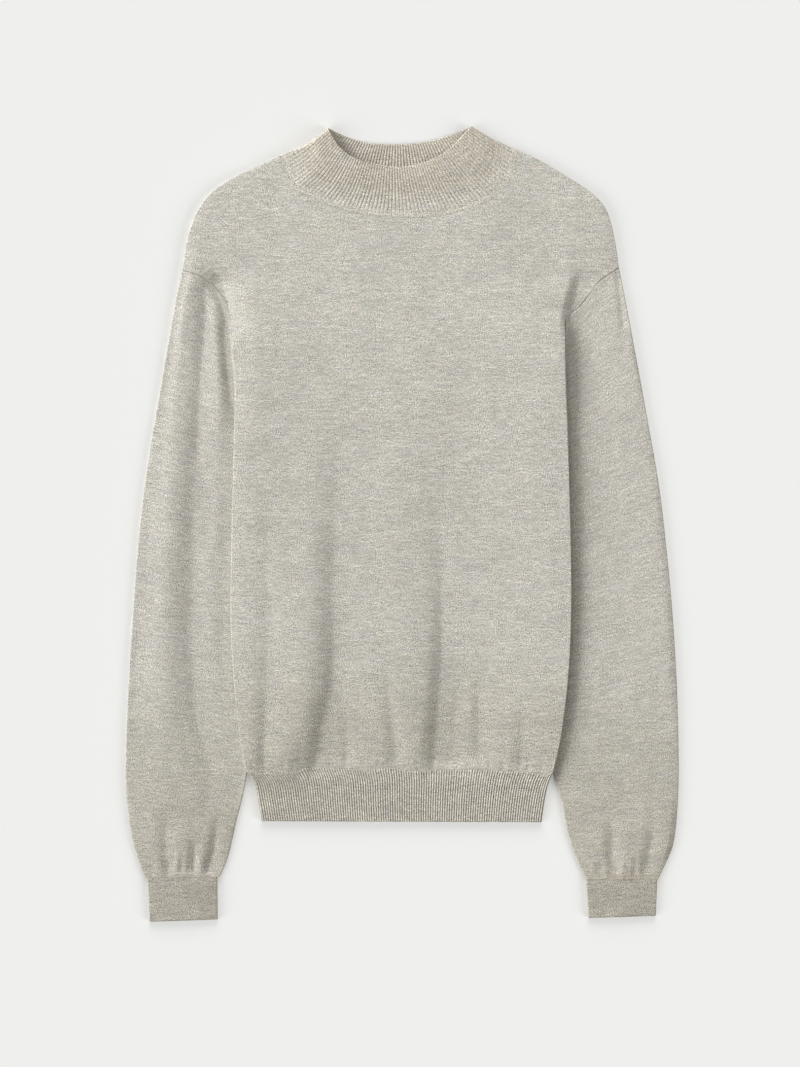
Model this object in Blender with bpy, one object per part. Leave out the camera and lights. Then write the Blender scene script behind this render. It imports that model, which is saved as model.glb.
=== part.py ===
"""A mock neck sweater in fine knit, laid flat on its back on a table.

Run it with: blender --background --python part.py

X runs across the sweater, Y runs from its hem up to its collar and Z up off the table.
The origin is at the middle of the footprint, on the table.  "Left" and "right" are as seen
from above.  The tables and constants are in millimetres, and MM turns them into metres
where the vertices are placed.
"""

import math
from collections import namedtuple

import bmesh
import bpy
from mathutils import Vector
from mathutils.geometry import intersect_point_line
from mathutils.kdtree import KDTree

MM = 0.001
TO_MIDDLE = Vector((0.79, 0.05, 0))    # from the tables' axes to the footprint's middle
SIDES = ("left", "right")

# Cloth
JERSEY = 1.8           # wall of the plain knit: front, back and sleeves
RIB = 2.3              # wall of the ribbed collar, hem and cuffs
SEAM = 0.35            # space left between two pieces at a seam
BODY_DEPTH = 6.9       # front over back, outside to outside
HEM_DEPTH = 6.4
COLLAR_DEPTH = 7.4
LIP_RISE = 1.1         # how much higher the front collar stands at its lip
SLEEVE_EDGE = 5.2      # height of a sleeve's folds
SLEEVE_DEPTH = 7.2     # height of a sleeve along its middle
CUFF_DEPTH = 6.4

# Rounded folds, measured inwards from the outline
BODY_ROLL = 4.8
SLEEVE_ROLL = 4.4
CUFF_ROLL = 3.8
LIFT_REACH = 85.0      # how far in from its side folds the body slopes down to the table

# Outlines, as (x, y) points for a smooth curve: side folds from the hem to the armpit,
# armholes from the armpit to the shoulder, shoulder folds from the armhole to the neck
HEM_Y = -228.0
BODY_SIDES = {
    "left": ((-145, HEM_Y), (-151, -200), (-155.3, -165), (-157.4, -130), (-160, -90),
             (-159.3, -30), (-156, 80), (-155.2, 120), (-157, 155), (-159.2, 185),
             (-163, 206)),
    "right": ((139, HEM_Y), (144, -200), (148.5, -165), (152.2, -130), (154, -90),
              (154, -30), (151.2, 80), (149.8, 120), (149, 155), (149.6, 191)),
}
ARMHOLES = {
    "left": ((-163, 206), (-171, 216.5), (-184, 228), (-204, 235)),
    "right": ((149.6, 191), (165, 204), (180, 224), (199.5, 237)),
}
SHOULDERS = {
    "left": ((-204, 235), (-199, 266), (-191, 288), (-179, 305), (-158, 320),
             (-131, 332.6), (-116, 340)),
    "right": ((199.5, 237), (196, 261), (189, 288), (177, 304), (152, 321),
              (125, 337), (108, 345)),
}

# Collar: its side folds from the neck seam up, and the seams and lips from left to right
COLLAR_SIDES = {
    "left": ((-116, 340), (-93, 349.5), (-69.4, 366.4)),
    "right": ((108, 345), (85, 355), (62.9, 367.9)),
}
FRONT_NECK_SEAM = ((-116, 340), (-106, 323), (-100, 309), (-85, 302), (-66, 293.5),
                   (-40, 286.5), (-6, 283.6), (30, 284.5), (60, 291.5), (82, 301),
                   (96, 313), (104, 326), (108, 345))
BACK_NECK_SEAM = ((-116, 340), (-98, 322), (-60, 309), (-6, 305), (48, 309), (92, 325),
                  (108, 345))
FRONT_LIP = ((-69.4, 366.4), (-56.5, 346), (-39, 336), (-6, 330), (13, 332.4),
             (27, 337), (42, 346), (62.9, 367.9))
BACK_LIP = ((-69.4, 366.4), (-39, 354), (-6, 351.3), (22, 353.7), (41, 359),
            (62.9, 367.9))

# Hem band: its side folds, from the body down
HEM_SIDES = {
    "left": ((-145, HEM_Y), (-138, -237), (-134, -255), (-130.7, -274)),
    "right": ((139, HEM_Y), (134.3, -239), (130.5, -257), (128, -275)),
}

# Sleeves: the outer fold from shoulder to cuff, and the inner fold from the hem to the cuff
SLEEVE_OUTER = {
    "left": ((-204, 235), (-210, 208), (-223, 134), (-236, 57), (-244, -8),
             (-250.6, -93), (-255, -169), (-256.5, -236), (-254, -264), (-249, -292),
             (-240, -317), (-235, -326)),
    "right": ((199.5, 237), (203.5, 218), (215.6, 154), (226, 97), (237, 33),
              (244, -27), (249, -81), (253, -146), (254.8, -222), (253.5, -264),
              (249.6, -296), (240, -319), (235.5, -328)),
}
SLEEVE_INNER = {
    "left": ((-149, -255), (-153.6, -273), (-161, -305), (-166, -317), (-171, -325)),
    "right": ((146, -255), (150, -277), (158, -303), (165, -319), (171, -328)),
}
CUFF_ENDS = {
    "left": ((-233, -368), (-171.3, -366)),
    "right": ((233.5, -363), (173.3, -365)),
}

# How high the body's side folds ride over the sleeves, and how far each sleeve's inner
# fold reaches in under them, both by height up the body
SIDE_LIFT = ((-275, 0), (-250, 0.8), (HEM_Y, 3.3), (-200, 5.3), (-165, 5.8), (160, 5.8),
             (206, 2.6), (235, 0))
SLEEVE_TUCK = ((HEM_Y, 0.7), (-200, 3.4), (-165, 4.0), (115, 4.0), (148, 0.6),
               (172, -0.9), (206, -0.9))
TUCK_STATIONS = (206, 190, 172, 148, 115, 60, 0, -60, -120, -165, -200, HEM_Y)

# Soft troughs, each from its faint top to its deep low end
Fold = namedtuple("Fold", "top_across top_along low_across low_along half_width depth")

# Those of the front run down to the hem.  Here across is x and along is y.
FRONT_FOLDS = (
    Fold(-125, -150, -129, -222, 14, 1.1),
    Fold(-70, -20, -88, -226, 19, 2.3),
    Fold(-52, -180, -54, -226, 12, 1.0),
    Fold(-7, -182, -7, -226, 13, 1.1),
    Fold(28, -30, 26, -226, 14, 2.4),
    Fold(70, -165, 71, -222, 13, 1.1),
    Fold(111, -182, 111, -226, 13, 1.6),
)
FOLD_FADE = 9.0        # the troughs close this far above the hem seam

# Those of the sleeves.  Here across runs from 0 at the outer fold to 1 at the inner one,
# and along runs from 0 at the armhole to 1 at the cuff.
SLEEVE_FOLDS = {
    "left": (Fold(0.45, 0.03, 0.62, 0.80, 0.17, 1.4),
             Fold(0.24, 0.87, 0.24, 1.0, 0.14, 1.6),
             Fold(0.62, 0.89, 0.62, 1.0, 0.13, 1.4),
             Fold(0.85, 0.86, 0.85, 1.0, 0.12, 1.8)),
    "right": (Fold(0.74, 0.04, 0.80, 0.60, 0.16, 1.2),
              Fold(0.30, 0.88, 0.30, 1.0, 0.14, 1.6),
              Fold(0.78, 0.87, 0.76, 1.0, 0.14, 1.8)),
}
ARMHOLE_BLEND = 0.12   # share of the sleeve over which it settles from the armhole's shape
CUFF_BLEND = 0.03      # share of the sleeve over which it closes down to the cuff

# Mesh fineness, as shares of an edge's length.  Each edge that meets a fold has a few close
# steps there, and the two pieces at a curved seam share its stations.
FRONT_STATIONS = (0, 0.0095, 0.019, 0.03, 0.06, 0.1, 0.145, 0.19, 0.235, 0.28, 0.33, 0.385,
                  0.44, 0.49, 0.54, 0.585, 0.625, 0.67, 0.715, 0.76, 0.81, 0.86, 0.905,
                  0.94, 0.97, 0.981, 0.9905, 1)
BACK_STATIONS = (0, 0.0095, 0.019, 0.03, 0.08, 0.15, 0.23, 0.31, 0.39, 0.47, 0.54, 0.61, 0.69,
                 0.77, 0.85, 0.92, 0.97, 0.981, 0.9905, 1)
COLLAR_ROWS = (0, 0.33, 0.67, 1)
SLEEVE_STATIONS = (0, 0.05, 0.1, 0.15, 0.3, 0.5, 0.7, 0.85, 0.9, 0.95, 1)
ARMHOLE_STATIONS = (0, 0.15, 0.3, 0.5, 0.7, 0.85, 0.9, 0.95, 1)
FRONT_ROWS = (0, 0.02, 0.06, 0.12, 0.2, 0.31, 0.44, 0.58, 0.72, 0.85, 0.95)
BACK_ROWS = (0, 0.04, 0.14, 0.35, 0.6, 0.8, 0.95)
SHOULDER_STATIONS = (0.1, 0.3, 0.5, 0.7, 0.88, 1)
HEM_ROWS = (0, 0.5, 1)
SLEEVE_RINGS = (0, 0.02, 0.045, 0.075, 0.12, 0.2, 0.3, 0.4, 0.5, 0.6, 0.7, 0.78, 0.85,
                0.9, 0.94, 0.97, 0.985, 1)
CUFF_RINGS = (0, 0.5, 1)
PANEL_ASPECT = 1.8      # a body panel's height over its width
RELAX_ROUNDS = 160
RELAX_STRIDE = 1.6
ROLL_STEPS = 3         # steps round a quarter of a fold
ROLL_STRIDE = 2.6      # their length on the flat cloth
ON_FOLD = 0.6          # nearer than this, cloth counts as lying on the fold itself
ARMPIT_SHARE = 0.764   # the armpit and the shoulder's end along the body's side edges
SHOULDER_SHARE = 0.83

GREY_MARL = (0.50, 0.47, 0.42)
GREY_RIB = (0.42, 0.39, 0.34)


# Curves and tables

def smooth(low, high, value):
    """0 below low, 1 above high, and an S-curve between them."""
    share = min(max((value - low) / (high - low), 0.0), 1.0)
    return share * share * (3 - 2 * share)


def from_table(rows, key):
    """Read a two-column table, with an S-curve from each row to the next."""
    if key <= rows[0][0]:
        return rows[0][1]
    for (low, before), (high, after) in zip(rows, rows[1:]):
        if key <= high:
            return before + (after - before) * smooth(low, high, key)
    return rows[-1][1]


def curve_through(points):
    """A smooth curve through the points, as a function of the share of its length."""
    points = [Vector(point) for point in points]
    reach = [0.0]
    for first, second in zip(points, points[1:]):
        reach.append(reach[-1] + (second - first).length)

    def slope(index):
        before = max(index - 1, 0)
        after = min(index + 1, len(points) - 1)
        return (points[after] - points[before]) / (reach[after] - reach[before])

    def at(share):
        along = min(max(share, 0.0), 1.0) * reach[-1]
        index = 0
        while index < len(points) - 2 and along > reach[index + 1]:
            index += 1
        span = reach[index + 1] - reach[index]
        t = (along - reach[index]) / span
        return ((2 * t**3 - 3 * t**2 + 1) * points[index]
                + (t**3 - 2 * t**2 + t) * span * slope(index)
                + (3 * t**2 - 2 * t**3) * points[index + 1]
                + (t**3 - t**2) * span * slope(index + 1))

    return at


def part_of(curve, start, end):
    return lambda share: curve(start + (end - start) * share)


def joined(pieces):
    """One curve from pieces given as (curve, share of the whole at which it ends)."""
    def at(share):
        start = 0.0
        for piece, end in pieces:
            if share <= end + 1e-9:
                return piece((share - start) / (end - start))
            start = end
        return pieces[-1][0](1.0)
    return at


def moved(curve, distance):
    """The curve moved to the left of its direction of travel."""
    step = 0.004

    def at(share):
        ahead = curve(min(share + step, 1.0)) - curve(max(share - step, 0.0))
        return curve(share) + Vector((-ahead.y, ahead.x)).normalized() * distance

    return at


def sampled(curve, count):
    return [curve(index / count) for index in range(count + 1)]


# The body's outline, in curves

side_folds = {side: curve_through(BODY_SIDES[side]) for side in SIDES}
armholes = {side: curve_through(ARMHOLES[side]) for side in SIDES}
shoulders = {side: part_of(curve_through(SHOULDERS[side]), 0, 0.997) for side in SIDES}
collar_folds = {side: part_of(curve_through(COLLAR_SIDES[side]), 0.006, 1) for side in SIDES}
hem_folds = {side: part_of(curve_through(HEM_SIDES[side]), 0.008, 1) for side in SIDES}
side_points = {side: sampled(side_folds[side], 60) for side in SIDES}


def side_x(side, y):
    """Where a side fold lies, at a height up the body."""
    points = side_points[side]
    for low, high in zip(points, points[1:]):
        if y <= high.y:
            share = max((y - low.y) / (high.y - low.y), 0.0)
            return low.x + (high.x - low.x) * share
    return points[-1].x


def distance_inside(x, y):
    return min(x - side_x("left", y), side_x("right", y) - x)


# Heights of the two faces of the body at a place on the table

def body_low(x, y):
    near_fold = 1 - smooth(4, LIFT_REACH, distance_inside(x, y))
    return from_table(SIDE_LIFT, y) * near_fold


def trough(across, along, fold):
    """How deep one fold is at a place."""
    share = (along - fold.top_along) / (fold.low_along - fold.top_along)
    if share <= 0:
        return 0.0
    middle = fold.top_across + (fold.low_across - fold.top_across) * min(share, 1.0)
    beside = min(abs(across - middle) / fold.half_width, 1.0)
    return fold.depth * smooth(0, 1, share) * (1 - beside**2)**2


def front_folds(x, y):
    depth = max(trough(x, y, fold) for fold in FRONT_FOLDS)
    return depth * smooth(HEM_Y, HEM_Y + FOLD_FADE, y)


def body_heights(x, y):
    low = body_low(x, y)
    return low, low + BODY_DEPTH - front_folds(x, y), low + BODY_DEPTH / 2


def hem_heights(x, y):
    low = body_low(x, y)
    return low, low + HEM_DEPTH, low + HEM_DEPTH / 2


def collar_heights(x, y):
    seam_y = FRONT_NECK_SEAM[6][1]
    lip_y = FRONT_LIP[3][1]
    return 0.0, COLLAR_DEPTH + LIP_RISE * smooth(seam_y, lip_y, y), COLLAR_DEPTH / 2


# Cloth that turns over at a fold

fold_samples = []      # places along the folds of the body, hem and collar
for side in SIDES:
    for curves in (hem_folds, side_folds, shoulders, collar_folds):
        fold_samples.append(sampled(curves[side], 120))
fold_search = KDTree(sum(len(fold) for fold in fold_samples))
fold_index = []
for fold in fold_samples:
    for number, sample in enumerate(fold):
        fold_search.insert(sample.to_3d(), len(fold_index))
        fold_index.append((fold, number))
fold_search.balance()


def nearest_fold(point):
    """The nearest place on those folds."""
    _, found, _ = fold_search.find(point.to_3d())
    fold, number = fold_index[found]
    nearest = fold[number]
    for first in (number - 1, number):
        if 0 <= first < len(fold) - 1:
            place, share = intersect_point_line(point, fold[first], fold[first + 1])
            place = Vector(place[:2])
            if 0 <= share <= 1 and (point - place).length < (point - nearest).length:
                nearest = place
    return nearest


def away_from_fold(inside):
    return inside - nearest_fold(inside)


def turned_cloth(point, inwards, heights, is_upper, depth):
    """A point of flat cloth, once the cloth is turned over at its nearest fold.

    inwards is the way into the cloth for a point on the fold itself.  depth is how far into
    the wall the point is.
    """
    fold = nearest_fold(point)
    distance = (point - fold).length
    if distance < ON_FOLD:
        distance = 0.0
    else:
        inwards = point - fold
    arc = BODY_ROLL * math.pi / 2
    turn = min(distance / arc, 1) * math.pi / 2
    reach = distance - (arc - BODY_ROLL) * (1 - smooth(arc, arc + 40, distance))
    if distance < arc:
        reach = depth + (BODY_ROLL - depth) * (1 - math.cos(turn))
    spot = fold + inwards.normalized() * reach
    low, high, middle = heights(spot.x, spot.y)
    middle += SEAM / 2 if is_upper else -SEAM / 2
    face = high - depth if is_upper else low + depth
    return spot.x, spot.y, middle + (face - middle) * math.sin(turn)


def filled_between(bottom, top, left, right):
    """Spread four joined curves into a surface, as a function of two shares."""
    def at(u, v):
        corners = ((1 - u) * (1 - v) * bottom(0) + u * (1 - v) * bottom(1)
                   + (1 - u) * v * top(0) + u * v * top(1))
        return ((1 - v) * bottom(u) + v * top(u) + (1 - u) * left(v) + u * right(v)
                - corners)
    return at


def space_fold_steps(row):
    """Even out a row's close steps round the folds at its two ends."""
    last = len(row) - 1
    for end, step in ((0, 1), (last, -1)):
        start = row[end]
        inwards = row[end + (ROLL_STEPS + 1) * step] - start
        stride = min(ROLL_STRIDE, inwards.length / (ROLL_STEPS + 1.5))
        for number in range(1, ROLL_STEPS + 1):
            row[end + number * step] = start + inwards.normalized() * stride * number


def relaxed(flat, us, vs):
    """Even out a surface's grid between its edges, as a soap film would, row by row."""
    spots = [[flat(u, v) for u in us] for v in vs]
    across = [(u - before, after - u) for before, u, after in zip(us, us[1:], us[2:])]
    along = [((v - before) * PANEL_ASPECT, (after - v) * PANEL_ASPECT)
             for before, v, after in zip(vs, vs[1:], vs[2:])]
    for _ in range(RELAX_ROUNDS):
        for row, (down, up) in enumerate(along, start=1):
            for column, (left, right) in enumerate(across, start=1):
                pulls = ((spots[row][column - 1], 1 / (left * (left + right))),
                         (spots[row][column + 1], 1 / (right * (left + right))),
                         (spots[row - 1][column], 1 / (down * (down + up))),
                         (spots[row + 1][column], 1 / (up * (down + up))))
                total = sum(weight for _, weight in pulls)
                target = sum((spot * weight for spot, weight in pulls), Vector((0, 0))) / total
                spots[row][column] += (target - spots[row][column]) * RELAX_STRIDE
    for row in spots[1:-1]:
        space_fold_steps(row)
    return spots


# Making the pieces

def material(name, colour, roughness):
    finish = bpy.data.materials.new(name)
    finish.use_nodes = True
    shader = finish.node_tree.nodes["Principled BSDF"]
    shader.inputs["Base Color"].default_value = (*colour, 1.0)
    shader.inputs["Roughness"].default_value = roughness
    shader.inputs["Metallic"].default_value = 0.0
    return finish


def cloth_piece(name, grid, place, wall, colour):
    """A wall of cloth.

    Each vertex of the grid stands at (column, row, 0).  place(column, row, depth) says where
    the cloth is there, and how far into the wall: 0 on its outer face and wall on its inner.
    """
    faces = bmesh.ops.extrude_face_region(grid, geom=grid.faces[:])["geom"]
    inner = {item for item in faces if isinstance(item, bmesh.types.BMVert)}
    for vertex in grid.verts:
        column, row = round(vertex.co.x), round(vertex.co.y)
        depth = wall if vertex in inner else 0.0
        vertex.co = (Vector(place(column, row, depth)) + TO_MIDDLE) * MM
    bmesh.ops.recalc_face_normals(grid, faces=grid.faces)
    if grid.calc_volume(signed=True) < 0:
        bmesh.ops.reverse_faces(grid, faces=grid.faces)
    mesh = bpy.data.meshes.new(name)
    grid.to_mesh(mesh)
    grid.free()
    mesh.shade_smooth()
    mesh.set_sharp_from_angle(angle=math.radians(60))
    mesh.materials.append(material(name, colour, roughness=0.95))
    piece = bpy.data.objects.new(name, mesh)
    garment.objects.link(piece)
    return piece


def flat_grid(columns, rows):
    """An open sheet of cells, its vertices at whole numbers of columns and rows."""
    grid = bmesh.new()
    bmesh.ops.create_grid(grid, x_segments=columns, y_segments=rows, size=0.5)
    for vertex in grid.verts:
        vertex.co = ((vertex.co.x + 0.5) * columns, (vertex.co.y + 0.5) * rows, 0)
    return grid


def tube_grid(columns, rows):
    """A sheet joined into a tube, each vertex at its column and row."""
    grid = bmesh.new()
    bmesh.ops.create_cone(grid, cap_ends=False, segments=columns, radius1=1, radius2=1,
                          depth=1)
    lengthwise = [edge for edge in grid.edges
                  if abs(edge.verts[0].co.z - edge.verts[1].co.z) > 0.5]
    bmesh.ops.subdivide_edges(grid, edges=lengthwise, cuts=rows - 1, use_grid_fill=True)
    for vertex in grid.verts:
        turn = math.atan2(vertex.co.y, vertex.co.x) / (2 * math.pi)
        vertex.co = (round(turn * columns) % columns, (vertex.co.z + 0.5) * rows, 0)
    return grid


def panel(name, spots, heights, wall, colour, is_upper, armpit_row=None):
    """One face of a flat, folded garment, its upper face or its underside.

    spots is a grid of places on the flat cloth, row by row.
    """
    rows = len(spots) - 1
    columns = len(spots[0]) - 1

    def place(column, row, depth):
        point = spots[row][column]
        if row == armpit_row and column in (0, columns):
            inwards = spots[row][columns - column] - point
        else:
            beside = spots[min(max(row, 1), rows - 1)][min(max(column, 1), columns - 1)]
            inwards = away_from_fold(beside)
        return turned_cloth(point, inwards, heights, is_upper, depth)

    return cloth_piece(name, flat_grid(columns, rows), place, wall, colour)


def straight(start, end):
    start = Vector(start)
    end = Vector(end)
    return lambda share: start.lerp(end, share)


def neck_edge(seam, distance):
    """A neck seam, moved up or down for its space, and cut short of the shoulder folds."""
    return part_of(moved(curve_through(seam), distance), 0.004, 0.996)


def ending_at(curve, end):
    """The curve with its last stretch eased over to end at a given place."""
    miss = end - curve(1)
    return lambda share: curve(share) + miss * share**12


def body_outline(neck_seam):
    """Bottom, top, left and right edges of the front or the back."""
    top = neck_edge(neck_seam, -SEAM / 2)
    edges = []
    for side, neck_end in (("left", top(0)), ("right", top(1))):
        fold = part_of(side_folds[side], SEAM / 800, 1)
        edges.append(joined(((fold, ARMPIT_SHARE), (armholes[side], SHOULDER_SHARE),
                             (ending_at(shoulders[side], neck_end), 1))))
    return straight(edges[0](0), edges[1](0)), top, *edges


def between(start, end, shares):
    return [start + (end - start) * share for share in shares]


def make_body():
    for name, seam, us, rows, is_upper in (
            ("front", FRONT_NECK_SEAM, FRONT_STATIONS, FRONT_ROWS, True),
            ("back", BACK_NECK_SEAM, BACK_STATIONS, BACK_ROWS, False)):
        vs = between(0, ARMPIT_SHARE, rows)
        vs += between(ARMPIT_SHARE, SHOULDER_SHARE, ARMHOLE_STATIONS)
        vs += between(SHOULDER_SHARE, 1, SHOULDER_STATIONS)
        spots = relaxed(filled_between(*body_outline(seam)), us, vs)
        panel(name, spots, body_heights, JERSEY, GREY_MARL, is_upper, armpit_row=len(rows))


def spread(outline, us, vs):
    flat = filled_between(*outline)
    return [[flat(u, v) for u in us] for v in vs]


def make_collar():
    for name, seam, lip, us, is_upper in (
            ("collar_front", FRONT_NECK_SEAM, FRONT_LIP, FRONT_STATIONS, True),
            ("collar_back", BACK_NECK_SEAM, BACK_LIP, BACK_STATIONS, False)):
        bottom = neck_edge(seam, SEAM / 2)
        sides = []
        for side, corner in (("left", bottom(0)), ("right", bottom(1))):
            downwards = part_of(collar_folds[side], 1, 0)
            sides.append(part_of(ending_at(downwards, corner), 1, 0))
        spots = spread((bottom, curve_through(lip), *sides), us, COLLAR_ROWS)
        panel(name, spots, collar_heights, RIB, GREY_RIB, is_upper)


def make_hem():
    left, right = (part_of(hem_folds[side], 1, 0) for side in SIDES)
    outline = (straight(left(0), right(0)), straight(left(1), right(1)), left, right)
    for name, us, is_upper in (("hem_front", FRONT_STATIONS, True),
                               ("hem_back", BACK_STATIONS, False)):
        panel(name, spread(outline, us, HEM_ROWS), hem_heights, RIB, GREY_RIB, is_upper)


def tube(name, rings, stations, section, wall, colour):
    """A flattened tube of cloth, with the same stations across its two faces.

    section(station, is_upper, ring, depth) gives each point.
    """
    last = len(stations) - 1
    loop = [(station, True) for station in range(last + 1)]
    loop += [(station, False) for station in range(last - 1, 0, -1)]

    def place(column, row, depth):
        station, is_upper = loop[column]
        return section(station, is_upper, row, depth)

    return cloth_piece(name, tube_grid(len(loop), len(rings) - 1), place, wall, colour)


def tube_share(station, last, width, radius, depth):
    """How far across a flattened tube a station lies, as a share, and its turn in radians."""
    steps_in = min(station, last - station)
    if steps_in < ROLL_STEPS:
        turn = steps_in / ROLL_STEPS * math.pi / 2
        reach = depth + (radius - depth) * (1 - math.cos(turn))
    else:
        turn = math.pi / 2
        spans = last - 2 * ROLL_STEPS
        reach = radius + (width - 2 * radius) * (steps_in - ROLL_STEPS) / spans
    share = reach / width
    return (share if station <= last / 2 else 1 - share), turn


def sleeve_curves(side):
    """The sleeve's outer and inner folds, from the armhole to the cuff."""
    outwards = -1 if side == "left" else 1
    hidden = []
    for y in TUCK_STATIONS:
        if y <= ARMHOLES[side][0][1]:
            tuck = from_table(SLEEVE_TUCK, y)
            hidden.append((side_x(side, y) - outwards * tuck, y))
    armpit_x, armpit_y = ARMHOLES[side][0]
    start = (armpit_x + outwards * 0.9, armpit_y - 0.3)
    if hidden[0][1] > armpit_y - 8:
        hidden.pop(0)
    return curve_through(SLEEVE_OUTER[side]), curve_through((start, *hidden, *SLEEVE_INNER[side]))


def make_sleeve(side):
    outer, inner = sleeve_curves(side)
    outwards = -1 if side == "left" else 1
    seam = moved(armholes[side], SEAM * -outwards)
    last = len(SLEEVE_STATIONS) - 1

    def section(station, is_upper, ring, depth):
        along = SLEEVE_RINGS[ring]
        if ring == 0:
            share = 1 - SLEEVE_STATIONS[station]
            inwards = away_from_fold(seam(0.5 + (share - 0.5) * 0.8))
            x, y, z = turned_cloth(seam(share), inwards, body_heights, is_upper, depth)
            return (x, y, z) if 0 < station < last else (x, y, body_heights(x, y)[2])
        settled = smooth(0, ARMHOLE_BLEND, along)
        closing = smooth(1 - CUFF_BLEND, 1, along)
        radius = BODY_ROLL + (SLEEVE_ROLL - BODY_ROLL) * settled
        width = (inner(along) - outer(along)).length
        share, turn = tube_share(station, last, width, radius, depth)
        spot = outer(along).lerp(inner(along), share)
        bow = seam(1 - share) - outer(0).lerp(inner(0), share)
        spot += bow * (1 - smooth(0, 0.06, along))
        edge = BODY_DEPTH + (SLEEVE_EDGE - BODY_DEPTH) * settled
        crown = (SLEEVE_DEPTH - SLEEVE_EDGE) * settled * (1 - (2 * share - 1)**4)
        low = from_table(SIDE_LIFT, armholes[side](1 - share).y) * (1 - settled)
        folds = max(trough(share, along, fold) for fold in SLEEVE_FOLDS[side])
        folds *= settled * (1 - closing) * math.sin(math.pi * share)**0.5
        height = edge + crown - folds
        height += (CUFF_DEPTH + 0.2 - height) * closing
        middle = low + edge / 2 + (CUFF_DEPTH / 2 - edge / 2) * closing
        face = low + height - depth if is_upper else low + depth
        return spot.x, spot.y, middle + (face - middle) * math.sin(turn)

    return tube(f"sleeve_{side}", SLEEVE_RINGS, SLEEVE_STATIONS, section, JERSEY, GREY_MARL)


def make_cuff(side):
    outer_start = Vector(SLEEVE_OUTER[side][-1])
    inner_start = Vector(SLEEVE_INNER[side][-1])
    outer_end, inner_end = (Vector(point) for point in CUFF_ENDS[side])
    down = ((outer_end + inner_end) - (outer_start + inner_start)).normalized() * SEAM
    last = len(SLEEVE_STATIONS) - 1

    def section(station, is_upper, ring, depth):
        outer = (outer_start + down).lerp(outer_end, CUFF_RINGS[ring])
        inner = (inner_start + down).lerp(inner_end, CUFF_RINGS[ring])
        share, turn = tube_share(station, last, (inner - outer).length, CUFF_ROLL, depth)
        spot = outer.lerp(inner, share)
        middle = CUFF_DEPTH / 2
        face = CUFF_DEPTH - depth if is_upper else depth
        return spot.x, spot.y, middle + (face - middle) * math.sin(turn)

    return tube(f"cuff_{side}", CUFF_RINGS, SLEEVE_STATIONS, section, RIB, GREY_RIB)


for thing in list(bpy.data.objects):
    bpy.data.objects.remove(thing, do_unlink=True)
garment = bpy.data.collections.new("mock_neck_sweater")
bpy.context.scene.collection.children.link(garment)

make_body()
make_collar()
make_hem()
for side in SIDES:
    make_sleeve(side)
    make_cuff(side)
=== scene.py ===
"""A mock neck sweater in fine warm-grey marl knit, laid flat on its back.

Each piece is a fine shell of knit on the form of its plain solid, cut to the same sizes:
front and back, sleeves, and the ribbed collar, hem and cuffs.  Sizes are in millimetres, and
MM turns them into metres where the vertices are placed.  X runs across the sweater, Y from
the hem up to the collar and Z up off the table.  "Left" and "right" are as seen from above.
"""

import math
from functools import partial

import bmesh
import bpy
import numpy as np
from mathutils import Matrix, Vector, noise
from mathutils.kdtree import KDTree


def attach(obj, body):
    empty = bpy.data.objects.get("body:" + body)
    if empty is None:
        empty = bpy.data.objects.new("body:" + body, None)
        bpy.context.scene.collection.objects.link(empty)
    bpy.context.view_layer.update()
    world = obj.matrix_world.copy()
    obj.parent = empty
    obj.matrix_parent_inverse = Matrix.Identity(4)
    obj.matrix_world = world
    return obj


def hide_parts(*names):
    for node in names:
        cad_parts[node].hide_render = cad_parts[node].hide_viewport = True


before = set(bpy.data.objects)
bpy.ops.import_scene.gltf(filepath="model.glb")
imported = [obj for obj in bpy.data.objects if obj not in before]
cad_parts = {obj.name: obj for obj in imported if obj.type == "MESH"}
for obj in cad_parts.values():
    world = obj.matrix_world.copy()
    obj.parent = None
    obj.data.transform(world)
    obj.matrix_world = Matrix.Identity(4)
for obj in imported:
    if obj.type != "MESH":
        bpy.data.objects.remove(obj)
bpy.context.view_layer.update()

MM = 0.001
TO_MIDDLE = np.array((0.79, 0.05, 0.0))  # from the tables' axes to the footprint's middle
SIDES = ("left", "right")
OUTWARDS = {"left": -1, "right": 1}

# Cloth
JERSEY = 1.3  # wall of the plain knit
RIB = 1.5  # wall of the ribbed knit, under its ribs
SEAM = 0.14  # space between two pieces at a seam
BODY_DEPTH = 6.9  # front over back, outside to outside
HEM_DEPTH = 6.4
CUFF_DEPTH = 5.4
COLLAR_DEPTH = 9.0  # at the collar's lip,
COLLAR_TILT = 2.0  # which stands this much higher on its left
RIGHT_LIFT = 0.12  # the share by which the right side fold rides higher than the left

# Rounded folds, measured inwards from the outline
BODY_ROLL = 0.7
ARMPIT_ROLL = 0.4  # where the body's folds and the sleeves' meet
SLEEVE_ROLL = 0.8
CUFF_ROLL = 0.8
COLLAR_ROLL = 4.0
ROLL_TAKE_UP = 40.0  # how far in the cloth that a roll takes up is made good
LIFT_REACH = 100.0  # how far in from its side folds the body slopes down to the table
THINNEST = 2.9  # two walls, pressed together
LEFT_SLOPE = 1.0  # how much lower the front lies at its left fold,
SLOPE_REACH = 19.0  # which it rises from over this width
SHOULDER_DROP = 0.5  # how much lower it lies at its shoulder folds,
DROP_REACH = 9.0  # which it rises from over this width
BILLOW = 0.6  # how far the front swells out over the hem's seam,
GATHERS = 0.45  # and how deep its small gathers are there
ROUNDING = 0.2  # how rounded the creases' bottoms are, as a share of their widths
SEAM_SHARE = 0.4  # the share of the front's creases that is left at the hem's seam

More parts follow.
